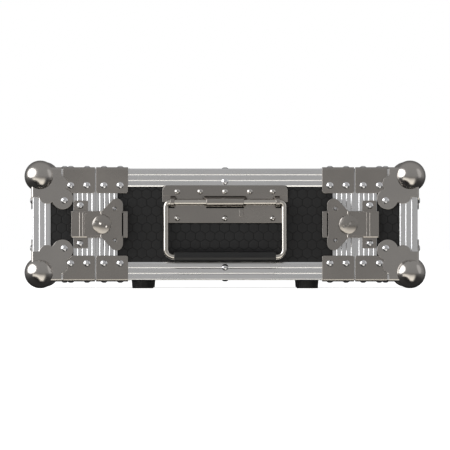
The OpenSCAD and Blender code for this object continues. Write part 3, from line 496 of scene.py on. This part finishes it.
def hexagons(name, body, size, to_place, covered=()):
    """Hexagon tiles in a size[0] by size[1] field, centred on the origin of to_place."""
    half_u, half_v = size[0] / 2, size[1] / 2
    row_pitch = HEX_PITCH * math.sqrt(3) / 2
    radius = (HEX_PITCH - HEX_GAP) / math.sqrt(3)
    columns = math.ceil(half_u / HEX_PITCH) + 1
    rows = math.ceil(half_v / row_pitch) + 1
    bm = bmesh.new()
    for row in range(-rows, rows + 1):
        shift = HEX_PITCH / 2 if row % 2 else 0
        for column in range(-columns, columns + 1):
            u = column * HEX_PITCH + shift + HEX_SHIFT[0]
            v = row * row_pitch + HEX_SHIFT[1]
            if any(a < u < b and c < v < d for a, b, c, d in covered):
                continue
            if abs(u) > half_u + radius * 0.7 or abs(v) > half_v + radius * 0.8:
                continue
            bmesh.ops.create_circle(
                bm, cap_ends=True, radius=radius, segments=6,
                matrix=Matrix.Translation((u, v, -HEX_ROOT)))
    for normal, point in (
        ((1, 0, 0), (half_u, 0, 0)), ((-1, 0, 0), (-half_u, 0, 0)),
        ((0, 1, 0), (0, half_v, 0)), ((0, -1, 0), (0, -half_v, 0)),
    ):
        bmesh.ops.bisect_plane(
            bm, geom=bm.verts[:] + bm.edges[:] + bm.faces[:], dist=1e-7,
            plane_co=point, plane_no=normal, clear_outer=True)
    slivers = [f for f in bm.faces if f.calc_area() < SMALLEST_TILE]
    bmesh.ops.delete(bm, geom=slivers, context="FACES")
    raised = bmesh.ops.extrude_face_region(bm, geom=bm.faces[:], use_keep_orig=True)
    tops = [g for g in raised["geom"] if isinstance(g, bmesh.types.BMFace)]
    lifted = [g for g in raised["geom"] if isinstance(g, bmesh.types.BMVert)]
    bmesh.ops.translate(bm, verts=lifted, vec=(0, 0, HEX_RISE / 2 + HEX_ROOT))
    bmesh.ops.recalc_face_normals(bm, faces=bm.faces)
    bmesh.ops.inset_individual(bm, faces=tops, thickness=HEX_CHAMFER, depth=HEX_RISE / 2)
    bmesh.ops.transform(bm, matrix=to_place, verts=bm.verts)
    if to_place.determinant() < 0:
        bmesh.ops.reverse_faces(bm, faces=bm.faces)
    mesh = bpy.data.meshes.new(name)
    bm.to_mesh(mesh)
    bm.free()
    mesh.materials.append(blacks["hexagon"])
    piece = link_piece(mesh, name, body)
    print(name, len(tops), "hexagons")
    return piece


def facing(centre, across, up, out):
    """Matrix that lays a flat field on a face of the case."""
    columns = Matrix((across, up, out)).transposed().to_4x4()
    return Matrix.Translation(centre) @ columns


GAP = 0.15 * MM
body_field = 2 * (BODY_HALF - GAP)
wall_height = TOP_Z - BASE_Z - 2 * (EDGE_LEG + GAP)
top_width = 2 * (SIDE_Y - EDGE_LEG - GAP)
wall_y = SIDE_Y - FACING_DEPTH
X, Y, Z = Vector((1, 0, 0)), Vector((0, 1, 0)), Vector((0, 0, 1))
handle_low, handle_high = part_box("front_handle_base")
under_handle = [
    (handle_low.x + 9 * MM, handle_high.x - 9 * MM,
     handle_low.z - MID_Z + 3 * MM, handle_high.z - MID_Z + 9 * MM),
]
for wall, side in (("front", -1), ("back", 1)):
    hexagons(
        f"body_{wall}_hexagons", "body", (body_field, wall_height),
        facing((0, side * wall_y, MID_Z), -side * X, Z, side * Y), under_handle)
for wall, side, level in (("top", 1, TOP_Z), ("bottom", -1, BASE_Z)):
    hexagons(
        f"body_{wall}_hexagons", "body", (body_field, top_width),
        facing((0, 0, level - side * FACING_DEPTH), X, side * Y, side * Z))
for cover, end in (("left_cover", -1), ("right_cover", 1)):
    inner = END_X - EDGE_LEG - GAP
    rim_low, rim_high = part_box(f"{cover}_rim")
    outer_x = (rim_low.x if end < 0 else rim_high.x) + end * GAP
    width = abs(end * inner - outer_x)
    middle = (end * inner + outer_x) / 2
    for wall, side in (("front", -1), ("back", 1)):
        hexagons(
            f"{cover}_{wall}_hexagons", cover, (width, wall_height),
            facing((middle, side * wall_y, MID_Z), -side * X, Z, side * Y))
    for wall, side, level in (("top", 1, TOP_Z), ("bottom", -1, BASE_Z)):
        hexagons(
            f"{cover}_{wall}_hexagons", cover, (width, top_width),
            facing((middle, 0, level - side * FACING_DEPTH), X, side * Y, side * Z))
    hexagons(
        f"{cover}_end_hexagons", cover, (top_width, wall_height),
        facing((end * (END_X - FACING_DEPTH), 0, MID_Z), end * Y, Z, end * X))

# %% [markdown]
# Braces, corners, keepers, latch plates and handle plates are stamped from sheet
# steel and tumbled before plating, so each edge has a small radius that catches
# the light as a thin bright line. The bevel's width is that radius. A ball corner
# is pressed and welded, and the whole corner is a little brighter than the braces.

# %% Stamped steel
THICK_SHEET = 0.35
BASE_SHEET = 0.3
THIN_SHEET = 0.25
WING_SHEET = 0.22
stamped = []
for cover in ("left_cover", "right_cover"):
    stamped.append(finished(f"{cover}_braces", "plated", THICK_SHEET))
    stamped.append(finished(f"{cover}_keepers", "plated", THIN_SHEET))
    stamped.append(finished(f"{cover}_ball_corners", "plated", THICK_SHEET))
stamped.append(finished("body_braces", "plated", THICK_SHEET))
for wall in ("front", "back"):
    stamped.append(finished(f"{wall}_handle_base", "plated", BASE_SHEET))
    stamped.append(finished(f"{wall}_handle_strip", "plated", THICK_SHEET))
    for end in ("left", "right"):
        latch = f"{wall}_{end}_latch"
        stamped.append(finished(f"{latch}_base", "plated", BASE_SHEET))
        stamped.append(finished(f"{latch}_hook", "plated", THIN_SHEET))
        stamped.append(finished(f"{latch}_wing", "plated", WING_SHEET))
        stamped.append(finished(f"{latch}_rotor", "plated", THIN_SHEET))
print("stamped pieces:", len(stamped))

# %% [markdown]
# The bail is one bent wire, smooth all round, and its grip a soft rubber sleeve
# with rounded ends. Rivets are domed heads with a small dish where the setting
# tool pressed. Only the dish's rim is rounded, and its edges are the short ones.

# %% Wire, grips, rivets, screws, rails and feet
DISH_EDGE = 0.45 * MM
HEAD_EDGE = 0.35
turned = []
for wall in ("front", "back"):
    turned.append(finished(f"{wall}_handle_bail", "plated", materials=[metals["wire"]]))
    turned.append(finished(f"{wall}_handle_grip", "moulded", 0.9, segments=3))
turned.append(finished("handle_rivets", "plated"))
for node in ("body_rivets", "left_cover_rivets", "right_cover_rivets"):
    turned.append(finished(node, "plated", HEAD_EDGE, longest=DISH_EDGE))
for node in ("rail_screws", "foot_screws"):
    turned.append(finished(node, "plated", HEAD_EDGE))
for node in ("left_rack_rails", "right_rack_rails"):
    turned.append(finished(node, "coated", 0.4))
# The feet take the paler rubber: painted light for the shadow under the case.
turned.append(finished("rubber_feet", "moulded", 0.8, [blacks["foot"]], segments=3))
print("turned, drawn and moulded pieces:", len(turned))

# %% [markdown]
# The foam in a cover is cut as egg-crate sheet: rounded peaks and dips on the side
# that presses on the equipment, flat where it is glued to the end panel. A grid is
# moved into the wave, its rim is drawn down to the glued face, and the outer cells
# fade out, as foam pulls in a little at a cut edge.

# %% Foam pads
CREST_PITCH = 19 * MM
CREST = 2.6 * MM
CUT_EDGE = 7 * MM
PULLED_IN = 1.6 * MM


def foam_pad(cover, end):
    """The egg-crate pad that replaces a cover's plain foam."""
    low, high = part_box(f"{cover}_foam")
    length, height = high.y - low.y, high.z - low.z
    thick = high.x - low.x
    bm = bmesh.new()
    bmesh.ops.create_grid(bm, x_segments=200, y_segments=34, size=0.5)
    bmesh.ops.scale(bm, vec=(length, height, 1), verts=bm.verts)
    for vert in bm.verts:
        inset = min(length / 2 - abs(vert.co.x), height / 2 - abs(vert.co.y))
        wave = (math.cos(2 * math.pi * vert.co.x / CREST_PITCH)
                * math.cos(2 * math.pi * vert.co.y / CREST_PITCH))
        inside = min(1, inset / CUT_EDGE)
        rounding = (1 - inside) ** 3 * PULLED_IN
        vert.co.z = thick - CREST / 2 + wave * CREST / 2 * inside - rounding
    rim = [edge for edge in bm.edges if edge.is_boundary]
    drawn = bmesh.ops.extrude_edge_only(bm, edges=rim)
    lowered = [g for g in drawn["geom"] if isinstance(g, bmesh.types.BMVert)]
    for vert in lowered:
        vert.co.z = 0
    bmesh.ops.holes_fill(bm, edges=[e for e in bm.edges if e.is_boundary])
    bmesh.ops.recalc_face_normals(bm, faces=bm.faces)
    glued = low.x if end < 0 else high.x
    bmesh.ops.transform(
        bm, verts=bm.verts,
        matrix=facing((glued, 0, (low.z + high.z) / 2), -end * Y, Z, -end * X))
    bmesh.ops.recalc_face_normals(bm, faces=bm.faces)
    mesh = bpy.data.meshes.new(f"{cover}_foam_pad")
    bm.to_mesh(mesh)
    bm.free()
    mesh.materials.append(blacks["foam"])
    mesh.shade_smooth()
    mesh.set_sharp_from_angle(angle=math.radians(50))
    pad = link_piece(mesh, mesh.name, cover)
    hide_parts(f"{cover}_foam")
    print(pad.name, "with", len(mesh.polygons), "faces")
    return pad


for cover, end in (("left_cover", -1), ("right_cover", 1)):
    foam_pad(cover, end)

# %% [markdown]
# The floor is a plain pale sheet. Lit at the level of a normal studio it would
# look light grey, so for camera rays alone it adds a little light of its own,
# which lifts it to white and leaves the case's shadow in it. Reflections look
# through it to the world's lower half, which holds the same floor as a broad
# bright band, so that high and low balls mirror it alike.

# %% Floor
FLOOR_HALF = 30
FLOOR_GLOW = 0.8
floor_mesh = bpy.data.meshes.new("floor")
bm = bmesh.new()
bmesh.ops.create_grid(bm, x_segments=2, y_segments=2, size=FLOOR_HALF)
bm.to_mesh(floor_mesh)
bm.free()
floor = bpy.data.objects.new("floor", floor_mesh)
bpy.context.scene.collection.objects.link(floor)
paper = bpy.data.materials.new("pale_floor")
paper.use_nodes = True
tree = paper.node_tree
tree.nodes.clear()
output = tree.nodes.new("ShaderNodeOutputMaterial")
sheet = tree.nodes.new("ShaderNodeBsdfDiffuse")
sheet.inputs["Color"].default_value = (0.82, 0.82, 0.82, 1)
glow = tree.nodes.new("ShaderNodeEmission")
glow.inputs["Color"].default_value = (1, 1, 1, 1)
both = tree.nodes.new("ShaderNodeAddShader")
rays = tree.nodes.new("ShaderNodeLightPath")
lift = math_node(tree, "MULTIPLY", rays.outputs["Is Camera Ray"], FLOOR_GLOW)
tree.links.new(lift, glow.inputs["Strength"])
tree.links.new(sheet.outputs["BSDF"], both.inputs[0])
tree.links.new(glow.outputs["Emission"], both.inputs[1])
unseen = tree.nodes.new("ShaderNodeBsdfTransparent")
mixed = tree.nodes.new("ShaderNodeMixShader")
tree.links.new(rays.outputs["Is Glossy Ray"], mixed.inputs["Fac"])
tree.links.new(both.outputs[0], mixed.inputs[1])
tree.links.new(unseen.outputs["BSDF"], mixed.inputs[2])
tree.links.new(mixed.outputs["Shader"], output.inputs["Surface"])
floor_mesh.materials.append(paper)
print("floor", 2 * FLOOR_HALF, "m across")

# %% [markdown]
# The world is white to the camera. What the metal reflects is a studio: mid grey
# walls and ceiling that darken towards the ground, and in front of the case a
# cream sheet on the floor, bright at its near end. The sheet narrows to the left
# and ends on the right, and behind the case all is dimmer. A plate that faces the
# camera then shows as mid grey, its upper bends no brighter, its lower ones with a
# thin bright line.

# %% World
world = bpy.data.worlds.new("studio")
bpy.context.scene.world = world
world.use_nodes = True
tree = world.node_tree
tree.nodes.clear()
output = tree.nodes.new("ShaderNodeOutputWorld")
rays = tree.nodes.new("ShaderNodeLightPath")
place = tree.nodes.new("ShaderNodeTexCoord")
split = tree.nodes.new("ShaderNodeSeparateXYZ")
tree.links.new(place.outputs["Generated"], split.inputs[0])
rise = math_node(tree, "MULTIPLY_ADD", split.outputs["Z"], 0.5, 0.5)


def grey_levels(levels, height_value):
    """A colour ramp from the height of a direction, -1 to 1, to a grey or colour."""
    ramp = tree.nodes.new("ShaderNodeValToRGB")
    tree.links.new(height_value, ramp.inputs["Fac"])
    stops = ramp.color_ramp.elements
    for stop, (height, colour) in zip(stops, (levels[0], levels[-1])):
        stop.position, stop.color = 0.5 + height / 2, (*colour, 1)
    for height, colour in levels[1:-1]:
        stops.new(0.5 + height / 2).color = (*colour, 1)
    return ramp.outputs["Color"]


def grey(level):
    return (level, level, level)


def fade(value, start, end, low, high):
    """low up to start, high from end on, and a smooth change between."""
    node = tree.nodes.new("ShaderNodeMapRange")
    node.interpolation_type = "SMOOTHSTEP"
    tree.links.new(value, node.inputs["Value"])
    for socket, number in (
        ("From Min", start), ("From Max", end), ("To Min", low), ("To Max", high)):
        node.inputs[socket].default_value = number
    return node.outputs["Result"]


walls = grey_levels([
    (-1.0, grey(0.05)), (-0.5, grey(0.07)), (-0.18, grey(0.2)), (-0.02, grey(0.40)),
    (0.5, grey(0.42)), (1.0, grey(0.44))], rise)
level_part = math_node(
    tree, "SQRT", math_node(
        tree, "MAXIMUM", 0.0001, math_node(
            tree, "SUBTRACT", 1.0, math_node(
                tree, "MULTIPLY", split.outputs["Z"], split.outputs["Z"]))))
aside = math_node(tree, "DIVIDE", split.outputs["X"], level_part)
narrowing = fade(aside, -0.9, 0.1, 2.2, 1.0)
narrowed = math_node(tree, "MULTIPLY", split.outputs["Z"], narrowing)
sheet_rise = math_node(tree, "MULTIPLY_ADD", narrowed, 0.5, 0.5)
sheet_in_front = grey_levels([
    (-0.92, grey(0.04)), (-0.84, (1.8, 1.73, 1.58)), (-0.55, (1.45, 1.41, 1.31)),
    (-0.34, (0.85, 0.82, 0.77)), (-0.2, (0.27, 0.26, 0.245)), (-0.02, grey(0.40)),
    (0.5, grey(0.42)), (1.0, grey(0.44))], sheet_rise)
in_front = math_node(
    tree, "MULTIPLY",
    fade(aside, -0.92, -0.78, 0.0, 1.0), fade(aside, 0.5, 0.8, 1.0, 0.0))
in_front = math_node(
    tree, "MULTIPLY", in_front, fade(split.outputs["Y"], -0.2, 0.1, 1.0, 0.0))
around = tree.nodes.new("ShaderNodeMix")
around.data_type = "RGBA"
tree.links.new(in_front, around.inputs["Factor"])
tree.links.new(walls, around.inputs[6])
tree.links.new(sheet_in_front, around.inputs[7])
surround = tree.nodes.new("ShaderNodeBackground")
tree.links.new(around.outputs[2], surround.inputs["Color"])
tree.links.new(
    fade(split.outputs["Y"], 0.2, 0.95, 1.0, 0.4), surround.inputs["Strength"])
white = tree.nodes.new("ShaderNodeBackground")
white.inputs["Color"].default_value = (1, 1, 1, 1)
seen = tree.nodes.new("ShaderNodeMixShader")
straight = math_node(
    tree, "MAXIMUM", rays.outputs["Is Camera Ray"], rays.outputs["Is Transmission Ray"])
tree.links.new(straight, seen.inputs["Fac"])
tree.links.new(surround.outputs["Background"], seen.inputs[1])
tree.links.new(white.outputs["Background"], seen.inputs[2])
tree.links.new(seen.outputs["Shader"], output.inputs["Surface"])
bpy.context.scene.view_settings.view_transform = "Standard"
print("world nodes:", len(tree.nodes))

# %% [markdown]
# Two oval soft boxes: a very wide one on the left, which puts the white window on
# the balls and the bright crescents on the rivets, and a narrow weak one on the
# right so that the far side isn't dead.

# %% Lamps
def soft_box(name, position, width, height, watts, aim=(0, 0, 0.07)):
    """An oval area lamp turned to its aim."""
    lamp = bpy.data.lights.new(name, "AREA")
    lamp.shape = "ELLIPSE"
    lamp.size, lamp.size_y = width, height
    lamp.energy = watts
    holder = bpy.data.objects.new(name, lamp)
    bpy.context.scene.collection.objects.link(holder)
    holder.location = position
    towards = Vector(aim) - Vector(position)
    holder.rotation_euler = towards.to_track_quat("-Z", "Y").to_euler()
    return holder


soft_box("window_box", (-2.3, -0.9, 0.95), 3.7, 2.5, 62)
soft_box("right_box", (2.7, -0.8, 1.0), 1.6, 2.8, 3.8)
print("lamps: 2")

# %% [markdown]
# Last, the view layer is brought up to date.

# %% Update
bpy.context.view_layer.update()
